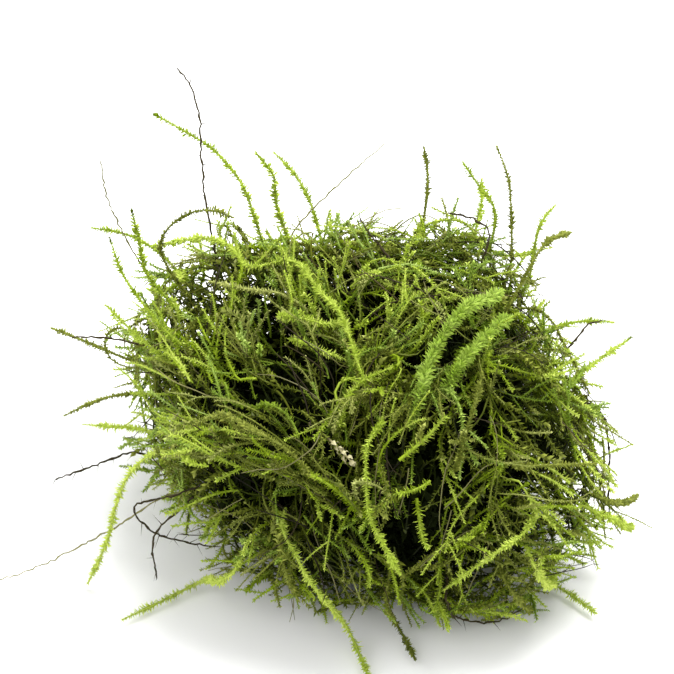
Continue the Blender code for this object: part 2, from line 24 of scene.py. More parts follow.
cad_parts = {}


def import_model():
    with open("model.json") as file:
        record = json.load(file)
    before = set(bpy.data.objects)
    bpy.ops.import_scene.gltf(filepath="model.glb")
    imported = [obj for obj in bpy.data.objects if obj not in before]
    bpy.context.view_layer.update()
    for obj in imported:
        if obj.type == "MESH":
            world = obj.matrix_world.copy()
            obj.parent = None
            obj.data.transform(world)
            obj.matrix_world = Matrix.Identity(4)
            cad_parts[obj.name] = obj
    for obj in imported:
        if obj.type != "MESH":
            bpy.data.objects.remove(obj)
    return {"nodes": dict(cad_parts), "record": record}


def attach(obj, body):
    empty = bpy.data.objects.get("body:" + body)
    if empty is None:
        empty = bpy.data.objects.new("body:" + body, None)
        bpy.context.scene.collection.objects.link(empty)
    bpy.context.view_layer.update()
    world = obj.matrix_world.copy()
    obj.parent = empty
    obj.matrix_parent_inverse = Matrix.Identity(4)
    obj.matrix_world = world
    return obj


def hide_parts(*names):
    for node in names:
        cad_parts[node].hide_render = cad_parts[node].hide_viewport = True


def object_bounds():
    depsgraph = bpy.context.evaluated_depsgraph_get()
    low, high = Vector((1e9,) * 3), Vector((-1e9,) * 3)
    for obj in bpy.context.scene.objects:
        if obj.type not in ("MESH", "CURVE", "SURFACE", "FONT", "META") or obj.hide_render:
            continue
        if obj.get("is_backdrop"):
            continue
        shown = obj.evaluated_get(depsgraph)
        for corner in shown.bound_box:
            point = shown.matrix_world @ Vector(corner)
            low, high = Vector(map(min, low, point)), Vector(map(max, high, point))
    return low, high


Span = tuple[float, float]
Place = tuple[float, float, float]
# A strand's points, how deep each lies and the share of its leaves that it keeps.
Course = list[tuple[Vector, float, float]]
Socket = bpy.types.NodeSocket

LOG = logging.getLogger("moss_clump")
MM = 0.001
UV_NAME = "OFBake"
# The brightest painted light on a leaf tip, which stands at the top of the map.
LIGHT_RANGE = 1.8
BODY = "root"
MAT_NODE = "moss_mat"
GOLDEN_TURN = math.radians(137.5)
VIEW_ELEVATION = math.radians(40)
TO_VIEWER = Vector((0, -math.cos(VIEW_ELEVATION), math.sin(VIEW_ELEVATION)))
UP_IN_VIEW = Vector((0, math.sin(VIEW_ELEVATION), math.cos(VIEW_ELEVATION)))
UP = Vector((0, 0, 1))
SEED = 11
# The ages that the map has room for, and how far they stray from point to point.
AGES = (0.02, 0.97)
AGE_FLECK = 0.02


class Growth(Enum):
    """What a shoot or stem is, named by the record's slot for its finish."""

    FRESH = "fresh_leaves"
    BROAD = "broad_leaves"
    OLIVE = "olive_leaves"
    WIRY = "bare_stem"
    HAIR = "hair_stem"
    DRY = "dry_leaves"
    DEAD = "matted_moss"


def clamp(value: float, low: float = 0.0, high: float = 1.0) -> float:
    """Keeps a number between two limits."""
    return min(high, max(low, value))


def mm(*sizes: float) -> tuple[float, ...]:
    """Turns millimetres into metres."""
    return tuple(size * MM for size in sizes)


def linear(code: str) -> tuple[float, float, float, float]:
    """Turns an sRGB hex colour into Blender's linear colour.

    Args:
        code: The colour as "#RRGGBB".

    Returns:
        Linear red, green and blue, and an alpha of 1.
    """
    shares = [int(code[i : i + 2], 16) / 255 for i in (1, 3, 5)]
    bent = [s / 12.92 if s <= 0.04045 else ((s + 0.055) / 1.055) ** 2.4 for s in shares]
    return (*bent, 1.0)


def add_node(
    tree: bpy.types.NodeTree, kind: str, inputs: dict | None = None, **settings: object
) -> bpy.types.Node:
    """Adds one node to a tree, with its settings, values and links.

    Args:
        tree: The node tree that the node goes in.
        kind: The node's type name.
        inputs: Each input's name or number, with the value or the output that it takes.
        settings: The node's own properties.

    Returns:
        The new node.
    """
    node = tree.nodes.new(kind)
    for name, value in settings.items():
        setattr(node, name, value)
    for key, value in (inputs or {}).items():
        if isinstance(value, Socket):
            tree.links.new(value, node.inputs[key])
        else:
            node.inputs[key].default_value = value
    return node


def put(name: str, data: bpy.types.ID) -> bpy.types.Object:
    """Makes an object of a mesh, lamp or camera.

    Args:
        name: The object's name.
        data: What it is made of.

    Returns:
        The object, linked to the scene.
    """
    made = bpy.data.objects.new(name, data)
    bpy.context.scene.collection.objects.link(made)
    return made


@dataclass(frozen=True)
class Finish:
    """A plant surface whose colour runs with its age and from leaf base to leaf tip.

    The colours lie on the piece's own map: u is the age, from a young tip to dead growth, and
    v is painted light: it runs from a leaf's base in painted shade on a dull shoot to its paler,
    lit tip on a bright one. Both rows of colours run from young to dead.
    """

    name: str
    tips: str
    bases: str
    wet: float
    dry: float
    sees_through: float = 0.0
    gloss: float = 0.5
    ior: float = 1.45

    def material(self) -> bpy.types.Material:
        """Builds the material, or finds it if it has been built.

        Returns:
            The material.
        """
        found = bpy.data.materials.get(self.name)
        if found:
            return found
        made = bpy.data.materials.new(self.name)
        made.use_nodes = True
        tree = made.node_tree
        tree.nodes.clear()
        uv = add_node(tree, "ShaderNodeUVMap", uv_map=UV_NAME).outputs["UV"]
        place = add_node(tree, "ShaderNodeSeparateXYZ", {0: uv}).outputs
        scaled = {0: place["Y"], 1: LIGHT_RANGE}
        light = add_node(tree, "ShaderNodeMath", scaled, operation="MULTIPLY").outputs[0]
        ends = []
        for codes in (self.bases.split(), self.tips.split()):
            ramp = add_node(tree, "ShaderNodeValToRGB", {0: place["X"]})
            stops = ramp.color_ramp.elements
            while len(stops) < len(codes):
                stops.new(0.5)
            for number, (stop, code) in enumerate(zip(stops, codes)):
                stop.position = number / (len(codes) - 1)
                stop.color = linear(code)
            ends.append(ramp.outputs["Color"])
        blend = {"Factor": light, "A": ends[0], "B": ends[1]}
        colour = add_node(tree, "ShaderNodeMix", blend, data_type="RGBA").outputs["Result"]
        span = {"Value": light, "To Min": self.wet, "To Max": self.dry}
        rough = add_node(tree, "ShaderNodeMapRange", span).outputs["Result"]
        look = {"Base Color": colour, "Roughness": rough}
        look |= {"IOR": self.ior, "Specular IOR Level": self.gloss}
        surface = add_node(tree, "ShaderNodeBsdfPrincipled", look).outputs["BSDF"]
        if self.sees_through:
            glow = add_node(tree, "ShaderNodeBsdfTranslucent", {"Color": colour})
            both = {0: self.sees_through, 1: surface, 2: glow.outputs["BSDF"]}
            surface = add_node(tree, "ShaderNodeMixShader", both).outputs["Shader"]
        add_node(tree, "ShaderNodeOutputMaterial", {"Surface": surface})
        return made


FINISHES = {
    # Living leaves one cell thick: light passes through them, and their tips are palest.
    Growth.FRESH: Finish(
        "fresh moss leaf",
        tips="#E8F284 #C2DA34 #94AC1C #4A580B #0F1304",
        bases="#A4BC18 #7A9208 #526206 #242A03 #090A02",
        wet=0.4, dry=0.62, sees_through=0.4, gloss=0.3,
    ),
    # The same moss in deeper shade, with broader and greener leaves.
    Growth.BROAD: Finish(
        "broad moss leaf",
        tips="#DEEE94 #C0DA54 #8AA51C #404E08 #0D1204",
        bases="#80A00C #5C7A03 #425403 #202702 #080A02",
        wet=0.38, dry=0.6, sees_through=0.4, gloss=0.3,
    ),
    # Last season's leaves: dull, partly brown and less clear.
    Growth.OLIVE: Finish(
        "old moss leaf",
        tips="#D2D688 #B0B852 #7E8822 #444C0E #121404",
        bases="#768226 #55620E #3C4905 #1E2602 #080B02",
        wet=0.45, dry=0.7, sees_through=0.25, gloss=0.25,
    ),
    # Stems and leaves that have died off inside the clump, damp and nearly black.
    Growth.DEAD: Finish(
        "dead moss stem",
        tips="#8E8E3A #666A20 #485113 #2F3A08 #161D05",
        bases="#4E5016 #394009 #293306 #1B2304 #0D1303",
        wet=0.7, dry=0.9, gloss=0.06,
    ),
    # Bare wiry stems, brown-black, with a waxy skin.
    Growth.WIRY: Finish(
        "wiry moss stem",
        tips="#6A6034 #4A4124 #302A18 #1C1810 #0E0C08",
        bases="#403820 #2A2415 #1A160E #100D09 #080705",
        wet=0.55, dry=0.7, gloss=0.15,
    ),
    # Hair-thin stalks, tan to olive and slightly clear.
    Growth.HAIR: Finish(
        "hair-thin moss stalk",
        tips="#A4A062 #7F7C42 #59582B #37371B #1D1D0F",
        bases="#626034 #484722 #333317 #20200E #111108",
        wet=0.4, dry=0.55, sees_through=0.15,
    ),
    # A dried curl of leaf, papery and buff.
    Growth.DRY: Finish(
        "dried moss leaf",
        tips="#ECE6C0 #D8D0A0 #B5AC74 #83794A #4C452A",
        bases="#ADA572 #8F8756 #6B643C #474227 #282516",
        wet=0.6, dry=0.8, sees_through=0.3,
    ),
}


@dataclass(frozen=True)
class LeafForm:
    """A moss leaf that stands along +Z with its outer face towards +X.

    Its bend and keel are shares of its length. Without rings it has four faces.
    """

    length: float
    width: float
    bend: float = 0.08
    keel: float = 0.1
    shoulder: float = 0.42
    rings: tuple[Span, ...] = ()
    outer_face: float = 3.0

    def object(self, name: str) -> bpy.types.Object:
        """Builds the leaf as a closed mesh that carries its own along and side shares.

        Args:
            name: The object's name.

        Returns:
            The leaf, linked to the scene.
        """
        shape = bmesh.new()
        if self.rings:
            self._boat(shape)
        else:
            self._blade(shape)
        bmesh.ops.recalc_face_normals(shape, faces=shape.faces)
        mesh = bpy.data.meshes.new(name)
        shape.to_mesh(mesh)
        shape.free()
        along = mesh.attributes.new("along", "FLOAT", "POINT")
        side = mesh.attributes.new("side", "FLOAT", "POINT")
        for vertex, up, across in zip(mesh.vertices, along.data, side.data):
            up.value = vertex.co.z / self.length
            outer = self.outer_face * vertex.co.x / self.length
            across.value = vertex.co.y / (0.5 * self.width) + outer
        return put(name, mesh)

    def _blade(self, shape: bmesh.types.BMesh) -> None:
        """Adds a leaf of four faces: base, two shoulders and tip.

        Args:
            shape: The mesh that it goes in.
        """
        shoulder, half = self.shoulder * self.length, 0.5 * self.width
        fold = self.keel * self.length
        ends = ((0, 0, 0), (self.bend * self.length, 0, self.length))
        places = (ends[0], (-fold, -half, shoulder), (-fold, half, shoulder), ends[1])
        bmesh.ops.convex_hull(shape, input=[shape.verts.new(p) for p in places])

    def _boat(self, shape: bmesh.types.BMesh) -> None:
        """Adds a keeled leaf that widens and narrows through its rings to its tip.

        Args:
            shape: The mesh that it goes in.
        """
        rows = []
        for share, wide in self.rings:
            up, half = share * self.length, 0.5 * wide * self.width
            lean = self.bend * self.length * math.sin(math.pi * share)
            hull = lean + self.keel * self.length * wide
            places = ((lean, -half, up), (hull, 0, up), (lean, half, up))
            rows.append([shape.verts.new(p) for p in places])
        base = shape.verts.new((0, 0, 0))
        tip = shape.verts.new((0, 0, self.length))
        for i in range(3):
            j = (i + 1) % 3
            shape.faces.new((base, rows[0][i], rows[0][j]))
            shape.faces.new((tip, rows[-1][j], rows[-1][i]))
            for low, high in zip(rows, rows[1:]):
                shape.faces.new((low[i], high[i], low[j]))
                shape.faces.new((low[j], high[i], high[j]))


@dataclass(frozen=True)
class Dress:
    """How one kind of shoot is clothed with leaves."""

    growth: Growth
    leaf: LeafForm
    spacing: float
    stem: float
    sides: int = 3
    degrees: float = 42

    @property
    def spread(self) -> float:
        """The angle at which leaves stand off the stem, in radians."""
        return math.radians(self.degrees)


@dataclass
class Strand:
    """The line of one shoot from root to tip, with the line numbers of each point."""

    points: list[Vector]
    numbers: list[tuple[float, ...]]


class ShootTree:
    """The node tree that turns lines into stems with leaves."""

    NAME = "leafy shoot"
    STORE = "GeometryNodeStoreNamedAttribute"
    INPUTS = {
        "Geometry": "Geometry", "Leaf": "Object", "Leaf Spacing": "Float", "Leaf Turn": "Float",
        "Leaf Spread": "Float", "Stem Radius": "Float", "Stem Sides": "Int", "Seed": "Int",
        "Finish": "Material",
    }
    # What a line carries at each point, and what leaves and stems carry on their own faces.
    LINE_NUMBERS = ("size", "leafy", "age", "tone", "opening", "girth")
    FACE_NUMBERS = ("along", "side", "spark")
    # What each leaf draws for itself, from least to most. The last brightens or darkens the leaf
    # towards its tip at random: partly its own tone, partly a painted glint.
    CHANCES = {
        "stray turn": (-0.3, 0.3), "stray lean": (0.7, 1.3), "own size": (0.55, 1.15),
        "lot": (0.0, 1.0), "own spark": (-0.65, 0.65),
    }
    # What is worked out from all these: its name, how, and from what.
    SUMS = (
        ("stem radius", "MULTIPLY", "Stem Radius", "girth"),
        ("stem along", "MULTIPLY", "number", 0.12),
        ("stem side", "MULTIPLY_ADD", "number", 0.5, -0.6),
        ("turn", "MULTIPLY_ADD", "number", "Leaf Turn", "stray turn"),
        ("even lean", "MULTIPLY", "opening", "Leaf Spread"),
        ("lean", "MULTIPLY", "even lean", "stray lean"),
        ("scale", "MULTIPLY", "size", "own size"),
        ("kept", "LESS_THAN", "lot", "leafy"),
        ("u", "MULTIPLY_ADD", "side", 0.012, "age"),
        # A leaf's painted light: its base in painted shade, its tip lit, with the shoot's tone and
        # a glint towards the tip.
        ("shoot light", "MULTIPLY", "tone", 0.4),
        ("leaf light", "MULTIPLY_ADD", "along", 0.6, "shoot light"),
        ("light", "MULTIPLY_ADD", "spark", "along", "leaf light"),
        ("v", "DIVIDE", "light", LIGHT_RANGE),
    )

    def __init__(self) -> None:
        """Builds the tree with its named inputs."""
        self.tree = tree = bpy.data.node_groups.new(self.NAME, "GeometryNodeTree")
        new_socket = tree.interface.new_socket
        for name, kind in self.INPUTS.items():
            new_socket(name, in_out="INPUT", socket_type=f"NodeSocket{kind}")
        new_socket("Geometry", in_out="OUTPUT", socket_type="NodeSocketGeometry")
        self.values = self._values(add_node(tree, "NodeGroupInput").outputs)
        lines = {"Mesh": self.values["Geometry"]}
        curve = add_node(tree, "GeometryNodeMeshToCurve", lines).outputs["Curve"]
        both = add_node(tree, "GeometryNodeJoinGeometry")
        for grown in (self._stems(curve), self._leaves(curve)):
            tree.links.new(grown, both.inputs[0])
        place = {0: self.values["u"], 1: self.values["v"]}
        uv = add_node(tree, "ShaderNodeCombineXYZ", place).outputs[0]
        laid = {"Geometry": both.outputs[0], "Name": UV_NAME, "Value": uv}
        mapped = add_node(tree, self.STORE, laid, data_type="FLOAT2", domain="CORNER")
        finished = {"Geometry": mapped.outputs[0], "Material": self.values["Finish"]}
        done = add_node(tree, "GeometryNodeSetMaterial", finished).outputs[0]
        add_node(tree, "NodeGroupOutput", {0: done})

    def _values(self, given: bpy.types.NodeOutputs) -> dict[str, Socket]:
        """Adds all that stems and leaves read: given, carried, drawn and worked out.

        Args:
            given: The outputs of the tree's own inputs.

        Returns:
            Each value's output, by its name.
        """
        tree = self.tree
        values = {name: given[name] for name in self.INPUTS}
        values["number"] = add_node(tree, "GeometryNodeInputIndex").outputs[0]
        for name in (*self.LINE_NUMBERS, *self.FACE_NUMBERS):
            read = {"Name": name}
            node = add_node(tree, "GeometryNodeInputNamedAttribute", read, data_type="FLOAT")
            values[name] = node.outputs["Attribute"]
        for salt, (name, (least, most)) in enumerate(self.CHANCES.items(), 1):
            seed = add_node(tree, "ShaderNodeMath", {0: given["Seed"], 1: salt}, operation="ADD")
            drawn = {2: least, 3: most, "Seed": seed.outputs[0]}
            node = add_node(tree, "FunctionNodeRandomValue", drawn, data_type="FLOAT")
            values[name] = node.outputs[1]
        for name, what, *terms in self.SUMS:
            taken = {i: values.get(term, term) for i, term in enumerate(terms)}
            values[name] = add_node(tree, "ShaderNodeMath", taken, operation=what).outputs[0]
        return values

    def _stems(self, curve: Socket) -> Socket:
        """Runs a tapering stem along each line.

        Args:
            curve: The lines.

        Returns:
            The stems.
        """
        tree, values = self.tree, self.values
        around = {"Resolution": values["Stem Sides"], "Radius": 1.0}
        ring = add_node(tree, "GeometryNodeCurvePrimitiveCircle", around).outputs["Curve"]
        for name in ("along", "side"):
            kept = {"Geometry": ring, "Name": name, "Value": values[f"stem {name}"]}
            stored = add_node(tree, self.STORE, kept, data_type="FLOAT", domain="POINT")
            ring = stored.outputs[0]
        swept = {"Curve": curve, "Profile Curve": ring, "Fill Caps": True}
        swept["Scale"] = values["stem radius"]
        tube = add_node(tree, "GeometryNodeCurveToMesh", swept).outputs["Mesh"]
        return add_node(tree, "GeometryNodeSetShadeSmooth", {0: tube}).outputs[0]

    def _leaves(self, curve: Socket) -> Socket:
        """Sets leaves round each line in a golden spiral.

        Args:
            curve: The lines.

        Returns:
            The leaves, as real faces.
        """
        tree, values = self.tree, self.values
        even = {"Curve": curve, "Length": values["Leaf Spacing"]}
        sites = add_node(tree, "GeometryNodeCurveToPoints", even, mode="LENGTH").outputs
        axes = {"Primary Axis": sites["Tangent"], "Secondary Axis": sites["Normal"]}
        upright = {"primary_axis": "Z", "secondary_axis": "X"}
        rotation = add_node(tree, "FunctionNodeAxesToRotation", axes, **upright).outputs[0]
        for axis, angle in (((0, 0, 1), "turn"), ((0, 1, 0), "lean")):
            turned = {"Axis": axis, "Angle": values[angle]}
            by = add_node(tree, "FunctionNodeAxisAngleToRotation", turned).outputs[0]
            pair = {"Rotation": rotation, "Rotate By": by}
            node = add_node(tree, "FunctionNodeRotateRotation", pair, rotation_space="LOCAL")
            rotation = node.outputs[0]
        kept = {"Geometry": sites["Points"], "Name": "spark", "Value": values["own spark"]}
        lit = add_node(tree, self.STORE, kept, data_type="FLOAT", domain="POINT").outputs[0]
        leaf = add_node(tree, "GeometryNodeObjectInfo", {"Object": values["Leaf"]})
        placed = {"Points": lit, "Selection": values["kept"], "Instance": leaf.outputs["Geometry"]}
        placed |= {"Rotation": rotation, "Scale": values["scale"]}
        set_out = add_node(tree, "GeometryNodeInstanceOnPoints", placed).outputs[0]
        return add_node(tree, "GeometryNodeRealizeInstances", {0: set_out}).outputs[0]


@dataclass
class Dresser:
    """Turns strands into finished pieces."""

    most_triangles: int = 200_000
    # Growth bends below this height, and it comes to lie between there and the floor.
    floor_bend: float = 0.6 * MM
    shoots: ShootTree = field(default_factory=ShootTree)
    leaves: dict[LeafForm, bpy.types.Object] = field(default_factory=dict)
    total: int = 0

    def leaf(self, form: LeafForm) -> bpy.types.Object:
        """Finds the leaf of a form, and builds it the first time.

        Args:
            form: The leaf's form.

        Returns:
            The leaf that serves as pattern.
        """
        if form not in self.leaves:
            self.leaves[form] = form.object(f"leaf_{len(self.leaves)}")
        return self.leaves[form]

    def lines(self, name: str, strands: Iterable[Strand]) -> bpy.types.Object:
        """Lays the strands as plain lines that carry their numbers.

        Args:
            name: The object's name.
            strands: The strands.

        Returns:
            An object of edges only.
        """
        points: list[Vector] = []
        edges: list[tuple[int, int]] = []
        numbers = defaultdict(list)
        for strand in strands:
            first = len(points)
            points.extend(strand.points)
            edges.extend((i, i + 1) for i in range(first, len(points) - 1))
            for key, values in zip(ShootTree.LINE_NUMBERS, zip(*strand.numbers)):
                numbers[key].extend(values)
        mesh = bpy.data.meshes.new(name)
        mesh.from_pydata(points, edges, [])
        for key, values in numbers.items():
            mesh.attributes.new(key, "FLOAT", "POINT").data.foreach_set("value", values)
        return put(name, mesh)

    def piece(
        self, name: str, strands: Iterable[Strand], dress: Dress, nodes: Sequence[str], seed: int
    ) -> bpy.types.Object:
        """Grows leaves on strands and hands the piece to the frame.

        Args:
            name: The piece's name.
            strands: The lines that it grows on.
            dress: How it is clothed.
            nodes: The frame's nodes that it stands for.
            seed: What its leaves' chance comes from.

        Returns:
            The finished piece, a plain mesh at the origin.
        """
        lines = self.lines(f"{name}_lines", strands)
        modifier = lines.modifiers.new("grow", "NODES")
        modifier.node_group = self.shoots.tree
        finish = FINISHES[dress.growth].material()
        values = {
            "Leaf": self.leaf(dress.leaf), "Leaf Spacing": dress.spacing,
            "Leaf Turn": GOLDEN_TURN, "Leaf Spread": dress.spread, "Stem Radius": dress.stem,
            "Stem Sides": dress.sides, "Seed": seed, "Finish": finish,
        }
        for item in self.shoots.tree.interface.items_tree:
            if item.name in values:
                modifier[item.identifier] = values[item.name]
        graph = bpy.context.evaluated_depsgraph_get()
        mesh = bpy.data.meshes.new_from_object(
            lines.evaluated_get(graph), preserve_all_data_layers=True, depsgraph=graph
        )
        bpy.data.objects.remove(lines)
        for spare in (*ShootTree.LINE_NUMBERS, *ShootTree.FACE_NUMBERS, "radius"):
            if spare in mesh.attributes:
                mesh.attributes.remove(mesh.attributes[spare])
        mesh.name = name
        self._rest(mesh)
        mesh.materials.clear()
        mesh.materials.append(finish)
        made = put(name, mesh)
        triangles = sum(len(p.vertices) - 2 for p in mesh.polygons)
        if triangles >= self.most_triangles:
            raise ValueError(f"{name} has {triangles} triangles")
        self.total += triangles
        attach(made, BODY)
        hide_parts(*nodes)
        LOG.info("%s: %d triangles", name, triangles)
        return made

    def _rest(self, mesh: bpy.types.Mesh) -> None:
        """Bends what would run through the floor flat along it.

        Args:
            mesh: The piece's faces, which stand on height 0.
        """
        places = np.empty(3 * len(mesh.vertices), np.float32)
        mesh.vertices.foreach_get("co", places)
        height = places[2::3]
        low = height < self.floor_bend
        height[low] = self.floor_bend * np.exp(height[low] / self.floor_bend - 1)
        mesh.vertices.foreach_set("co", places)
        mesh.update()

    def clear(self) -> None:
        """Takes away the leaves that only served as patterns."""
        for leaf in self.leaves.values():
            bpy.data.objects.remove(leaf)
        LOG.info("all growth: %d triangles", self.total)


@dataclass
class Mat:
    """The form of the matted body: where its surface is, and how deep a point lies in it.

    A ray starts again one gap past a face that it met. Within the skin, out is the face's normal.
    """

    node: bpy.types.Object
    ray_gap: float = 0.001 * MM
    skin: float = 0.05 * MM

    def __post_init__(self) -> None:
        """Reads the body's faces from the frame."""
        mesh = self.node.data
        mesh.calc_loop_triangles()
        corners = [v.co for v in mesh.vertices]
        triangles = [t.vertices for t in mesh.loop_triangles]
        self.faces = np.array(corners)[np.array(triangles)]
        self.tree = BVHTree.FromPolygons(corners, triangles)
        cross = np.cross(self.faces[:, 1] - self.faces[:, 0], self.faces[:, 2] - self.faces[:, 0])
        self.areas = np.linalg.norm(cross, axis=1) / 2

    def holds(self, point: Vector) -> bool:
        """Tells whether a point lies inside, by counting the faces straight above it.

        Args:
            point: Where.

        Returns:
            True inside the body.
        """
        crossed = False
        start = point
        while True:
            place = self.tree.ray_cast(start, UP)[0]
            if place is None:
                return crossed
            crossed = not crossed
            start = place + Vector((0, 0, self.ray_gap))

    def depth(self, point: Vector) -> tuple[float, Vector]:
        """Tells how deep a point lies, and which way is out.

        Args:
            point: Where.

        Returns:
            The depth, below 0 outside, and the direction of the nearest surface, outwards.
        """
        place, normal, _, _ = self.tree.find_nearest(point)
        away = place - point
        side = 1 if self.holds(point) else -1
        out = away.normalized() * side
        return away.length * side, out if away.length > self.skin else normal

    def place(self, rng: random.Random) -> Vector:
        """Picks a point on the surface, as likely in one part of it as in another.

        Args:
            rng: Where chance comes from.

        Returns:
            The point.
        """
        face = rng.choices(range(len(self.areas)), weights=self.areas.tolist())[0]
        a, b = sorted((rng.random(), rng.random()))
        first, second, third = (Vector(c) for c in self.faces[face])
        return first * a + second * (b - a) + third * (1 - b)

    def inside(self, rng: random.Random, deep: float) -> Vector:
        """Picks a point inside the body.

        Args:
            rng: Where chance comes from.
            deep: The least depth under the surface.

        Returns:
            The point.
        """
        low, high = self.faces.min(axis=(0, 1)), self.faces.max(axis=(0, 1))
        while True:
            point = Vector([rng.uniform(a, b) for a, b in zip(low, high)])
            if self.depth(point)[0] > deep:
                return point


def seen(point: Vector) -> Span:
    """Gives a point's place to the right and up as seen from the front, in millimetres."""
    return point.x / MM, point.dot(UP_IN_VIEW) / MM


@dataclass(frozen=True)
class Layer:
    """One layer of the tangle.

    Its strands lie in a bed between two depths, and their tips stand proud of the surface and
    rise off it. Past the first stretch they dive into the mat. A share above 0 sets more of them
    where growth is brighter, partly fresher growth and partly painted light, and below 0 where it
    is duller, partly older growth and partly painted shade.
    """

    name: str
    dress: Dress
    count: int
    lengths: Span
    bed: Span
    proud: Span
    age: float
    size: float = 1.0
    leafy: float = 0.9
    rise: Span = (0.1, 1.8)
    dive: float = 0.25
    steer: float = 0.28
    branches: int = 0
    inside: bool = False
    growth_and_light_share: float = 0.0


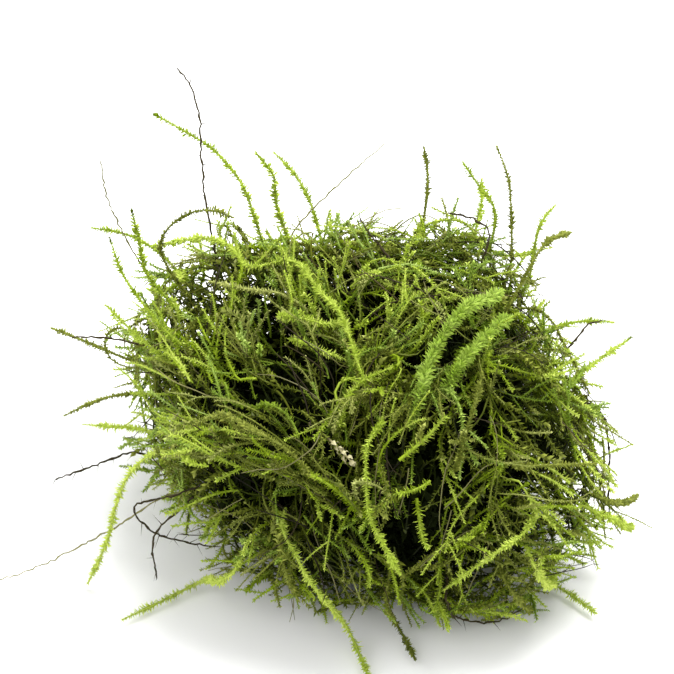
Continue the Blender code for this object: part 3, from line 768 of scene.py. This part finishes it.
@dataclass
class Tangle:
    """The interwoven shoots that fill the matted body."""

    mat: Mat
    rng: random.Random
    step: float = 2.0 * MM
    lowest: float = 0.9 * MM
    # How the shoots run in each stretch of the mat: right and up in millimetres as seen, and the
    # angle in degrees, counted from right towards up.
    flows: tuple[Place, ...] = (
        (-42, 46, 105), (-42, 30, 140), (-42, 14, 170), (-38, 0, 205), (-26, -8, 215),
        (-24, 54, 95), (-28, 40, 120), (-26, 24, 150), (-24, 8, 160), (-12, 40, 125),
        (-12, 24, 110), (-10, 10, 125), (-8, -4, 120), (0, 52, 140), (2, 38, 60),
        (0, 24, 80), (4, 10, 95), (8, -4, 100), (4, -16, 100), (14, 50, 135),
        (16, 32, 56), (18, 14, 60), (20, 0, 75), (22, -12, 40), (28, 50, 105),
        (32, 36, 115), (32, 20, 150), (42, 16, 100), (36, 4, 160), (40, -4, 140),
    )
    flow_reach: float = 9.0
    grain_scale: float = 14 * MM
    grain_pull: float = 0.2
    # Shoots fan out from the middle of the mat, right and up in millimetres as seen.
    middle: Span = (0.0, 26.0)
    fan: float = 0.7
    stray: float = 0.05
    curl: float = 0.045
    # How far a strand takes to reach its bed, and how hard it is drawn there.
    sink: float = 9 * MM
    bed_reach: float = 2.5 * MM
    bed_pull: Span = (-2.0, 0.6)
    # Brighter and duller stretches of growth: partly fresher and older shoots, partly painted
    # light on the top and the right rim and painted shade low down. Right, up and radius in
    # millimetres as seen, lift.
    growth_and_light_patches: tuple[tuple[float, float, float, float], ...] = (
        (-40, 44, 22, 0.3), (-40, 18, 18, 0.2), (-14, 60, 16, 0.25),
        (34, 46, 14, 0.2), (40, 10, 14, 0.35), (6, 54, 18, 0.3),
        (4, -8, 20, -0.2), (-16, 10, 12, -0.4), (-20, 28, 9, -0.3),
        (30, -4, 14, -0.1),
    )
    even_share: float = 0.6
    # Gaps through which the dark inside shows: right, up and radius, in millimetres as seen.
    gaps: tuple[Place, ...] = (
        (-6.4, 28.4, 3.2), (-7.2, 24.2, 3), (8.8, 31, 4.2), (-5.4, 43.6, 2.4),
        (23.2, 18.6, 3.6), (28.6, 8.8, 3.8), (-5.2, 10.8, 3), (-25, 26, 2.6),
        (-15, 3, 2.4), (4, -6, 2),
    )
    gap_depth: float = 9 * MM
    gap_facing: float = 0.2
    gap_bareness: float = 3.0
    # What each shoot draws for itself.
    tone_shape: float = 2.2
    age_spread: float = 0.07
    # Bright stretches, partly painted light, make shoots younger and paler; dull ones, partly
    # painted shade, older.
    growth_and_light_youth: float = 0.3
    sizes: Span = (0.8, 1.5)
    # Side branches: where they leave, how long they are and how they lie.
    branched_part: float = 0.6
    branch_size: float = 0.85
    branch_length: Span = mm(4, 9)
    branch_angle: Span = (0.55, 0.95)
    branch_rise: Span = (-0.1, 0.3)
    branch_bend: float = 0.12
    # Growth ages and darkens with its depth, most in the first millimetres: partly the dead growth
    # inside, partly painted shade deep in the clump. It is youngest near the tip.
    age_and_shade_depth: float = 10 * MM
    depth_age_and_shade: float = 0.75
    depth_curve: float = 0.8
    young_part: float = 12 * MM
    youth: float = 0.1
    # Leaves are fewer where they are hidden and near the root, and larger in the middle.
    hidden_depth: float = 7 * MM
    hidden_bareness: float = 0.8
    root_leaves: Span = (0.65, 0.35)
    swell: Span = (0.8, 0.2)
    swell_pace: float = 1.6
    bud_opening: float = 0.7
    taper: float = 0.5
    # The strands that fill the inside.
    deep_enough: float = 4 * MM
    bare_depth: float = 2.5 * MM
    least_swell: float = 0.25

    def gap(self, point: Vector, depth: float, out: Vector) -> tuple[float, Vector]:
        """Tells how far a point lies in one of the gaps, and the way out of it.

        Args:
            point: Where.
            depth: How deep it lies in the mat.
            out: Which way is out of the mat.

        Returns:
            A share from 0, outside every gap, to 1 at the middle of one, and a direction.
        """
        if depth > self.gap_depth or out.dot(TO_VIEWER) < self.gap_facing:
            return 0.0, Vector()
        right, up = seen(point)
        for x, y, radius in self.gaps:
            across, along = right - x, up - y
            far = math.hypot(across, along)
            if far < radius:
                way = Vector((across, 0, 0)) + UP_IN_VIEW * along
                return 1 - far / radius, way.normalized()
        return 0.0, Vector()

    def glow(self, point: Vector) -> float:
        """Tells how much brighter or duller than most the growth near a point is, partly as
        fresher and older growth and partly as painted light and shade.

        Args:
            point: Where.

        Returns:
            The lift, below 0 where growth is dull.
        """
        right, up = seen(point)
        lift = 0.0
        for x, y, radius, most in self.growth_and_light_patches:
            lift += most * max(0.0, 1 - ((right - x) ** 2 + (up - y) ** 2) / radius**2)
        return lift

    def grow(self, tip: Vector, layer: Layer) -> list[Strand]:
        """Grows one shoot from its tip back into the mat, and its side branches.

        Args:
            tip: A point on the mat's surface, or inside it for a layer that fills the inside.
            layer: The layer that it belongs to.

        Returns:
            The strands from root to tip: none where a gap would be covered.
        """
        rng = self.rng
        _, out = self.mat.depth(tip)
        point = tip.copy()
        if not layer.inside:
            point += out * rng.uniform(*layer.proud)
        point.z = max(point.z, self.lowest)
        if self.gap(point, 0.0, out)[0]:
            return []
        heading = -self._tip_way(point, out, layer)
        bed = rng.uniform(*layer.bed)
        curl = rng.gauss(0, self.curl)
        course = [(point.copy(), 0.0, 1.0)]
        for number in range(1, int(rng.uniform(*layer.lengths) / self.step) + 1):
            depth, out = self.mat.depth(point)
            gone = number * self.step
            wanted = bed * min(1.0, gone / self.sink) + layer.dive * max(0.0, gone - self.sink)
            pull = clamp((depth - wanted) / self.bed_reach, *self.bed_pull)
            grain = self._grain(point, out)
            if grain.dot(heading) < 0:
                grain.negate()
            inside, away = self.gap(point, depth, out)
            drawn = grain * self.grain_pull + out * pull * layer.steer
            heading += drawn + away * inside
            heading += Vector([rng.gauss(0, self.stray) for _ in range(3)])
            heading.rotate(Quaternion(out, curl))
            heading.normalize()
            point = point + heading * self.step
            point.z = max(point.z, self.lowest)
            clad = max(0.0, 1 - self.gap_bareness * self.gap(point, depth, out)[0])
            course.append((point.copy(), depth, clad))
        # The stretch's lift, partly painted light and shade, brightens or dulls the shoot and
        # shifts its age.
        lift = self.glow(tip)
        tone = clamp(rng.betavariate(self.tone_shape, self.tone_shape) + lift)
        own = rng.gauss(0, self.age_spread) - self.growth_and_light_youth * lift
        size = layer.size * rng.uniform(*self.sizes)
        grown = [self._strand(course[::-1], layer, tone, own, size)]
        for _ in range(rng.randint(0, layer.branches)):
            start = rng.randint(1, max(1, int(self.branched_part * len(course))))
            root, depth, clad = course[start]
            line = self._branch(root, course[start - 1][0] - root)
            twig = [(place, depth, clad) for place in line]
            grown.append(self._strand(twig, layer, tone, own, self.branch_size * size))
        return grown

    def _tip_way(self, point: Vector, out: Vector, layer: Layer) -> Vector:
        """Gives the direction in which a shoot's tip points.

        Args:
            point: Where the tip is.
            out: Which way is out of the mat.
            layer: The layer that the shoot belongs to.

        Returns:
            The direction.
        """
        right, up = seen(point)
        x, y = self.middle
        fan = Vector((right - x, 0, 0)) + UP_IN_VIEW * (up - y)
        fan = (fan - out * fan.dot(out)).normalized()
        grain = self._grain(point, out)
        if grain.dot(fan) < 0:
            grain.negate()
        any_way = Vector([self.rng.gauss(0, 1) for _ in range(3)])
        any_way = (any_way - out * any_way.dot(out)).normalized()
        way = (any_way + grain + fan * self.fan).normalized()
        return (way + out * self.rng.uniform(*layer.rise)).normalized()

    def _branch(self, start: Vector, along: Vector) -> list[Vector]:
        """Runs a side branch off a shoot, which bends towards the way the shoot runs.

        Args:
            start: Where it leaves the shoot.
            along: The way the shoot runs there, towards its tip.

        Returns:
            The branch's points, from the shoot outwards.
        """
        rng = self.rng
        _, out = self.mat.depth(start)
        along = along.normalized()
        side = along.cross(out).normalized() * rng.choice((-1, 1))
        angle = rng.uniform(*self.branch_angle)
        rise = out * rng.uniform(*self.branch_rise)
        way = along * math.cos(angle) + side * math.sin(angle) + rise
        point, points = start.copy(), [start.copy()]
        for _ in range(max(2, round(rng.uniform(*self.branch_length) / self.step))):
            way = (way.normalized() + along * self.branch_bend).normalized()
            point = point + way * self.step
            point.z = max(point.z, self.lowest)
            points.append(point.copy())
        return points

    def _grain(self, point: Vector, out: Vector) -> Vector:
        """Gives the way that shoots near a point tend to run, along the surface.

        Args:
            point: Where.
            out: Which way is out of the mat.

        Returns:
            The direction, which may as well be turned round.
        """
        right, up = seen(point)
        # Starts just off 0, so that far from every stretch there is an angle too.
        across = along = 1e-9
        for x, y, degrees in self.flows:
            near = math.exp(-((right - x) ** 2 + (up - y) ** 2) / self.flow_reach**2)
            twice = 2 * math.radians(degrees)
            across += near * math.cos(twice)
            along += near * math.sin(twice)
        angle = 0.5 * math.atan2(along, across) + noise.noise(point / self.grain_scale)
        way = Vector((math.cos(angle), 0, 0)) + UP_IN_VIEW * math.sin(angle)
        return (way - out * way.dot(out)).normalized()

    def _strand(
        self, course: Course, layer: Layer, tone: float, own: float, size: float
    ) -> Strand:
        """Gives a line its leaves and ages.

        Args:
            course: The line from root to tip.
            layer: The layer that it belongs to.
            tone: How bright it is.
            own: How much older it is than others of its layer.
            size: How large its leaves are.

        Returns:
            The strand.
        """
        last = len(course) - 1
        numbers = []
        root, rest = self.root_leaves
        least, most = self.swell
        for number, (_, depth, clad) in enumerate(course):
            share = number / last
            young = 1 - clamp((last - number) * self.step / self.young_part)
            # Deeper points age and darken: partly dead growth, partly painted shade.
            older = self.depth_age_and_shade * clamp(depth / self.age_and_shade_depth) ** self.depth_curve
            age = layer.age + own + older - self.youth * young + self.rng.gauss(0, AGE_FLECK)
            swell = least + most * math.sin(math.pi * min(1.0, self.swell_pace * share))
            under = clamp(depth / self.hidden_depth)
            if layer.inside:
                swell *= max(self.least_swell, under)
                dense = 0.0 if depth < self.bare_depth else 1.0
            else:
                dense = 1 - self.hidden_bareness * under
            leafy = layer.leafy * (root + rest * share) * dense * clad
            opening = 1.0 if number < last else self.bud_opening
            girth = size * (1.0 - self.taper * share**4)
            numbers.append((size * swell, leafy, clamp(age, *AGES), tone, opening, girth))
        return Strand([point for point, _, _ in course], numbers)

    def strands(self, layer: Layer) -> list[Strand]:
        """Grows a whole layer.

        Args:
            layer: The layer.

        Returns:
            All its strands, branches included.
        """
        grown = []
        while len(grown) < layer.count:
            tip = self.mat.place(self.rng)
            if layer.inside:
                tip = self.mat.inside(self.rng, self.deep_enough)
            # Layers gather by the stretches' brightness, which is partly painted light and shade.
            if self.rng.random() < self.even_share + layer.growth_and_light_share * self.glow(tip):
                grown.append(self.grow(tip, layer))
        return [strand for shoot in grown for strand in shoot]


def smooth_line(points: Sequence[Vector], step: float) -> list[Vector]:
    """Runs a smooth curve through points and walks it in even steps.

    Args:
        points: The points, in order.
        step: The distance between the points that come back.

    Returns:
        The new points, ends included.
    """
    ends = [points[0] * 2 - points[1], *points, points[-1] * 2 - points[-2]]
    dense = []
    for a, b, c, d in zip(ends, ends[1:], ends[2:], ends[3:]):
        count = max(2, math.ceil((c - b).length / (0.25 * step)))
        for i in range(count):
            t = i / count
            place = 2 * b + (c - a) * t
            place += (2 * a - 5 * b + 4 * c - d) * t**2
            place += (3 * b - a - 3 * c + d) * t**3
            dense.append(0.5 * place)
    dense.append(points[-1].copy())
    walked = [0.0]
    for first, second in zip(dense, dense[1:]):
        walked.append(walked[-1] + (second - first).length)
    wanted = np.linspace(0, walked[-1], max(2, round(walked[-1] / step)) + 1)
    table = np.array(dense)
    columns = [np.interp(wanted, walked, table[:, k]) for k in range(3)]
    return [Vector(p) for p in np.stack(columns, 1)]


FINE_LEAF = LeafForm(*mm(0.86, 0.34))
BROAD_LEAF = LeafForm(*mm(1.15, 0.42))
SMALL_LEAF = LeafForm(*mm(0.78, 0.42))
SLIM_LEAF = LeafForm(*mm(0.86, 0.56), shoulder=0.55)
TANGLE_LEAF = LeafForm(*mm(0.92, 0.5))
OLD_LEAF = LeafForm(*mm(0.85, 0.46))
# Leaves under the surface stand for the matted ones between them, so they are larger.
UNDER_LEAF = LeafForm(*mm(1.4, 0.82))
MATTED_LEAF = LeafForm(*mm(4.2, 2.6))
CURL_LEAF = LeafForm(*mm(1.5, 1.0), bend=0.35, rings=((0.26, 0.95), (0.62, 0.8)))
# What a bare stem has in place of leaves: stubs and side twigs.
STUB = LeafForm(*mm(0.65, 0.26))
TWIG = LeafForm(*mm(3.4, 0.26), keel=0.04, shoulder=0.06)

HERO_DRESS = {
    Growth.FRESH: Dress(Growth.FRESH, FINE_LEAF, *mm(0.075, 0.2), 6, 60),
    Growth.BROAD: Dress(Growth.BROAD, BROAD_LEAF, *mm(0.032, 0.28), 6, 60),
    Growth.OLIVE: Dress(Growth.OLIVE, SMALL_LEAF, *mm(0.085, 0.2), 6, 58),
    Growth.WIRY: Dress(Growth.WIRY, TWIG, *mm(1.6, 0.17), 5, 60),
    Growth.HAIR: Dress(Growth.HAIR, STUB, *mm(2.2, 0.13), 5),
    Growth.DRY: Dress(Growth.DRY, CURL_LEAF, *mm(0.3, 0.25), 5),
}
# Slim shoots, whose leaves stand further apart, like teeth.
SLIM = (
    "top_left_shoot", "top_arch_shoot", "top_hooked_shoot", "left_slim_shoot",
    "left_dark_tip_shoot", "left_small_shoot", "top_right_stem", "upper_right_stem",
)
SLIM_DRESS = {
    Growth.FRESH: Dress(Growth.FRESH, SLIM_LEAF, *mm(0.12, 0.17), 6, 56),
    Growth.OLIVE: Dress(Growth.OLIVE, SLIM_LEAF, *mm(0.12, 0.17), 6, 54),
}
HERO_AGE = {
    Growth.FRESH: 0.1, Growth.BROAD: 0.16, Growth.OLIVE: 0.3,
    Growth.WIRY: 0.3, Growth.HAIR: 0.14, Growth.DRY: 0.1,
}
# How bright the shoots are that differ from the rest of their kind. Above 1 they look younger.
# The shoots that lie on the floor are set bright partly for their own paler colour and partly as
# painted light against the clump's shadow.
HERO_TONE = {
    "bright_arch_shoot": 1.0, "floor_left_shoot": 1.5, "floor_front_shoot": 1.3,
    "floor_right_shoot": 1.4, "left_hanging_shoot": 1.3, "left_level_shoot": 1.3,
    "right_shoot": 1.2, "left_small_shoot": 1.2, "long_front_shoot": 0.8, "low_fork_shoot": 0.85,
    "blunt_shoot": 0.6, "big_frond": 0.85, "inner_frond": 0.9, "upper_curl_shoot": 0.9,
    "lower_curl_shoot": 0.85, "top_left_shoot": 0.9, "upper_left_frond": 2.4, "fork_shoot": 0.3,
    "front_left_shoot": 0.5, "right_leaning_shoot": 1.2, "foot_tuft": 0.2, "top_left_hair": 1.0,
    "top_long_hair": 1.0, "left_long_hair": 1.0,
}
# Shoots that end in a dark bud.
DARK_BUDS = ("left_dark_tip_shoot", "left_slim_shoot", "right_shoot", "top_left_shoot")
# Shoots whose leaves grow shorter as their solid does. On the others they keep their size.
TAPERED = ("bright_arch_shoot", "floor_front_shoot", "left_level_shoot", "foot_twig")


@dataclass
class Hero:
    """One shoot or stem of the frame, read back from its solid."""

    node: bpy.types.Object
    growth: Growth
    mat: Mat
    step: float = 0.8 * MM
    merge: float = 0.001 * MM
    # What of the stem and of a leaf counts towards the solid's radius.
    stem_share: float = 0.25
    leaf_share: float = 0.9
    leaf_sizes: Span = (1.0, 1.8)
    least_tapered: float = 0.6
    # What a shoot draws for itself, and how much younger a tone above 1 makes it.
    age_range: Span = (-0.04, 0.06)
    tones: Span = (0.35, 0.9)
    bright_youth: float = 0.15
    # The root, which the mat covers, is older and darker there: partly dead stem, partly painted
    # shade under the mat.
    cover: float = 1 * MM
    root_depth: float = 5 * MM
    root_age_and_shade: float = 0.6
    root_bareness: float = 0.9
    # The tip's bud.
    dark_bud: float = 1.2 * MM
    dark_bud_age: float = 0.45
    bud: float = 1.0 * MM
    bud_opening: float = 0.55
    taper: float = 0.5
    # Bare stems have a few side twigs, knobs and kinks.
    twigs: float = 0.6
    bare_taper: float = 0.3
    knob: float = 0.35
    kink: float = 0.11 * MM
    # The dried shoot is leafy in its curl alone.
    curled_part: float = 6 * MM
    stalk_age: float = 0.7

    def __post_init__(self) -> None:
        """Reads the centre line and the radius along it, from root to tip."""
        self.name = self.node.name
        rings = self._rings()
        middles = [sum(ring, Vector()) / len(ring) for ring in rings]
        radii = [sum((p - m).length for p in ring) / len(ring) for ring, m in zip(rings, middles)]
        if self.mat.depth(middles[0])[0] < self.mat.depth(middles[-1])[0]:
            middles.reverse()
            radii.reverse()
        self.points = smooth_line(middles, self.step)
        spans = np.cumsum([0.0] + [(b - a).length for a, b in zip(middles, middles[1:])])
        places = np.linspace(0, spans[-1], len(self.points))
        self.radii = np.interp(places, spans, radii).tolist()
        self.depths = [self.mat.depth(p)[0] for p in self.points]

    def _rings(self) -> list[list[Vector]]:
        """Splits the solid's points into the rings that it was swept through.

        Returns:
            The points of each ring, from one end to the other.
        """
        places: dict[tuple[int, ...], int] = {}
        index, points = [], []
        mesh = self.node.data
        for vertex in mesh.vertices:
            key = tuple(round(c / self.merge) for c in vertex.co)
            if key not in places:
                places[key] = len(points)
                points.append(vertex.co.copy())
            index.append(places[key])
        beside, across = defaultdict(set), defaultdict(list)
        for face in mesh.polygons:
            corners = [index[v] for v in face.vertices]
            for i, a in enumerate(corners):
                b = corners[(i + 1) % 3]
                beside[a].add(b)
                beside[b].add(a)
                across[frozenset((a, b))].append(corners[(i + 2) % 3])
        quads = {frozenset((*edge, *tops)) for edge, tops in across.items() if len(tops) == 2}
        # An end face is the square from which all other points are reached in narrow levels.
        best: list[list[int]] = []
        worst = math.inf
        for quad in sorted(sorted(q) for q in quads if len(q) == 4):
            levels, known = [quad], set(quad)
            while levels[-1]:
                reached = sorted({n for v in levels[-1] for n in beside[v]} - known)
                known |= set(reached)
                levels.append(reached)
            levels.pop()
            widest = max(len(level) for level in levels)
            if (widest, -len(levels)) < (worst, -len(best)):
                worst, best = widest, levels
        return [[points[i] for i in level] for level in best]

    def strand(self, dress: Dress, rng: random.Random) -> Strand:
        """Gives the shoot's line its leaves.

        Args:
            dress: How it is clothed.
            rng: Where chance comes from.

        Returns:
            The strand.
        """
        leaf_reach = self.leaf_share * dress.leaf.length * math.sin(dress.spread)
        reach = self.stem_share * dress.stem + leaf_reach
        last = len(self.points) - 1
        own = HERO_AGE[self.growth] + rng.uniform(*self.age_range)
        tone = HERO_TONE.get(self.name, rng.uniform(*self.tones))
        own -= self.bright_youth * max(0.0, tone - 1.0)
        bare = self.growth in (Growth.WIRY, Growth.HAIR)
        least, most = self.leaf_sizes
        if self.name in TAPERED:
            least = self.least_tapered
        points, numbers = [], []
        for number, (radius, depth) in enumerate(zip(self.radii, self.depths)):
            to_tip = (last - number) * self.step
            buried = clamp((depth + self.cover) / self.root_depth)
            # The buried root ages and darkens: partly dead stem, partly painted shade.
            age = own + self.root_age_and_shade * buried + rng.gauss(0, AGE_FLECK)
            if self.name in DARK_BUDS and to_tip < self.dark_bud:
                age += self.dark_bud_age
            size = 1.0 if bare else clamp(radius / reach, least, most)
            leafy = self.twigs if bare else 1.0 - self.root_bareness * buried
            if self.growth is Growth.DRY and to_tip > self.curled_part:
                leafy = 0.0
                age += self.stalk_age
            opening = self.bud_opening if to_tip < self.bud else 1.0
            knob = 1.0 + abs(rng.gauss(0, self.knob)) if bare else 1.0
            kink = Vector([rng.gauss(0, self.kink) for _ in range(3)]) if bare else Vector()
            points.append(self.points[number] + kink)
            taper = 1.0 - (self.bare_taper if bare else self.taper) * (number / last) ** 4
            girth = knob * taper * size
            numbers.append((size, leafy, clamp(age, *AGES), clamp(tone), opening, girth))
        return Strand(points, numbers)


LAYERS = (
    Layer(
        "bold_shoots", Dress(Growth.FRESH, FINE_LEAF, *mm(0.07, 0.2), 5, 60),
        count=90, lengths=mm(10, 24), bed=mm(0, 1.0), proud=mm(0.5, 4.0),
        age=0.16, size=1.25, growth_and_light_share=0.5,
    ),
    Layer(
        "fresh_tangle", Dress(Growth.FRESH, TANGLE_LEAF, *mm(0.115, 0.18), 4, 58),
        count=265, lengths=mm(10, 28), bed=mm(0, 2.5), proud=mm(-0.5, 4.0),
        age=0.14, size=1.08, branches=3, growth_and_light_share=1.5,
    ),
    Layer(
        "green_tangle", Dress(Growth.BROAD, TANGLE_LEAF, *mm(0.115, 0.18), 4, 58),
        count=265, lengths=mm(10, 28), bed=mm(0, 3.5), proud=mm(-1, 3.0),
        age=0.22, size=1.08, branches=3,
    ),
    Layer(
        "olive_tangle", Dress(Growth.OLIVE, OLD_LEAF, *mm(0.125, 0.17), 4, 56),
        count=305, lengths=mm(12, 30), bed=mm(0, 4), proud=mm(-1, 3),
        age=0.24, leafy=0.85, branches=2, growth_and_light_share=-1.0,
    ),
    Layer(
        "undergrowth", Dress(Growth.OLIVE, UNDER_LEAF, *mm(0.24, 0.16), degrees=50),
        count=500, lengths=mm(12, 28), bed=mm(1.5, 5), proud=mm(-4, -1),
        age=0.34, leafy=0.95, rise=(0.0, 1.0), dive=0.1, growth_and_light_share=1.0,
    ),
    Layer(
        "dead_tangle", Dress(Growth.DEAD, OLD_LEAF, *mm(0.6, 0.2)),
        count=300, lengths=mm(20, 40), bed=mm(1.5, 8), proud=mm(-4, -1),
        age=0.3, leafy=0.6,
    ),
    Layer(
        "matted_leaves", Dress(Growth.DEAD, MATTED_LEAF, *mm(0.72, 0.25), degrees=60),
        count=605, lengths=mm(20, 40), bed=mm(5, 16), proud=mm(0, 0), age=0.48,
        size=0.9, leafy=1.0, inside=True,
    ),
    Layer(
        "wiry_tangle", Dress(Growth.WIRY, TWIG, *mm(2.0, 0.13), 4, 55),
        count=90, lengths=mm(10, 24), bed=mm(0.3, 2), proud=mm(0, 5),
        age=0.4, leafy=0.5, rise=(0.1, 1.2), dive=0.5, steer=0.12,
    ),
    Layer(
        "hair_tangle", Dress(Growth.HAIR, STUB, *mm(3, 0.1), 4),
        count=100, lengths=mm(10, 24), bed=mm(0, 2), proud=mm(0, 3), age=0.1,
        leafy=0.4, rise=(0.0, 0.8), dive=0.5, steer=0.12,
    ),
)


@dataclass(frozen=True)
class Studio:
    """A white floor under soft light, with the camera at the picture's angle."""

    frame_width: float = 134.8 * MM
    frame_middle: Span = mm(-6.0, 35.4)
    lens: float = 300
    sensor: float = 36
    clip: Span = (0.05, 20)
    floor_side: float = 6.0
    floor_shade: str = "#F4F4F4"
    floor_rough: float = 0.9
    floor_gloss: float = 0.1
    # Each square light's name, place, side in metres and power in watts.
    lights: tuple[tuple[str, Place, float, float], ...] = (
        ("key", (0.3, 0.4, 1.1), 0.7, 24.0),
        ("fill", (-0.8, -0.7, 0.9), 1.2, 9.0),
    )
    world_shade: str = "#FFFFFF"
    world_strength: float = 0.85

    def build(self, floor_height: float) -> None:
        """Sets the floor, the lights, the world and the camera.

        Args:
            floor_height: The height that the clump rests at.
        """
        self._floor(floor_height)
        self._lights()
        self._world()
        self._camera()
        bpy.context.scene.view_settings.view_transform = "Standard"

    def _floor(self, height: float) -> None:
        """Lays the floor.

        Args:
            height: The height of its top.
        """
        mesh = bpy.data.meshes.new("studio_floor")
        shape = bmesh.new()
        bmesh.ops.create_grid(shape, x_segments=1, y_segments=1, size=self.floor_side / 2)
        bmesh.ops.translate(shape, vec=(0, 0, height), verts=shape.verts)
        shape.to_mesh(mesh)
        shape.free()
        floor = put("studio_floor", mesh)
        # Even and dull, so that nothing shows on it but the soft shadow.
        paper = bpy.data.materials.new("white studio paper")
        paper.use_nodes = True
        look = paper.node_tree.nodes["Principled BSDF"].inputs
        look["Base Color"].default_value = linear(self.floor_shade)
        look["Roughness"].default_value = self.floor_rough
        look["Specular IOR Level"].default_value = self.floor_gloss
        mesh.materials.append(paper)
        floor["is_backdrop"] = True

    def _lights(self) -> None:
        """Hangs the soft lights so that they face the clump."""
        for name, place, side, power in self.lights:
            data = bpy.data.lights.new(name, "AREA")
            data.size = side
            data.energy = power
            lamp = put(name, data)
            lamp.location = place
            lamp.rotation_euler = (-Vector(place)).to_track_quat("-Z", "Y").to_euler()

    def _world(self) -> None:
        """Fills the room with even white light."""
        world = bpy.data.worlds.new("white room")
        world.use_nodes = True
        look = world.node_tree.nodes["Background"].inputs
        look["Color"].default_value = linear(self.world_shade)
        look["Strength"].default_value = self.world_strength
        bpy.context.scene.world = world

    def _camera(self) -> None:
        """Aims the camera so that the frame takes in what the picture shows."""
        data = bpy.data.cameras.new("camera")
        data.lens = self.lens
        data.sensor_width = self.sensor
        data.clip_start, data.clip_end = self.clip
        camera = put("camera", data)
        far = self.lens / self.sensor * self.frame_width
        right, up = self.frame_middle
        target = Vector((right, 0, 0)) + UP_IN_VIEW * up
        camera.location = target + TO_VIEWER * far
        camera.rotation_euler = (math.pi / 2 - VIEW_ELEVATION, 0, 0)
        bpy.context.scene.camera = camera


def main() -> None:
    """Builds the clump and its studio, and reports each piece."""
    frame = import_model()
    cad_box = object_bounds()
    rng = random.Random(SEED)
    slots = {part["node"]: part["material_slot"] for part in frame["record"]["subparts"]}
    mat = Mat(frame["nodes"][MAT_NODE])
    dresser = Dresser()
    names = sorted(name for name in frame["nodes"] if name != MAT_NODE)
    for number, name in enumerate(names):
        growth = Growth(slots[name])
        dress = (SLIM_DRESS if name in SLIM else HERO_DRESS)[growth]
        strand = Hero(frame["nodes"][name], growth, mat).strand(dress, rng)
        dresser.piece(f"{name}_grown", [strand], dress, [name], number)
    tangle = Tangle(mat, rng)
    for number, layer in enumerate(LAYERS, 100):
        dresser.piece(layer.name, tangle.strands(layer), layer.dress, [MAT_NODE], number)
    dresser.clear()
    Studio().build(cad_box[0].z)


if __name__ == "__main__":
    logging.basicConfig(level=logging.INFO, format="%(message)s")
    main()
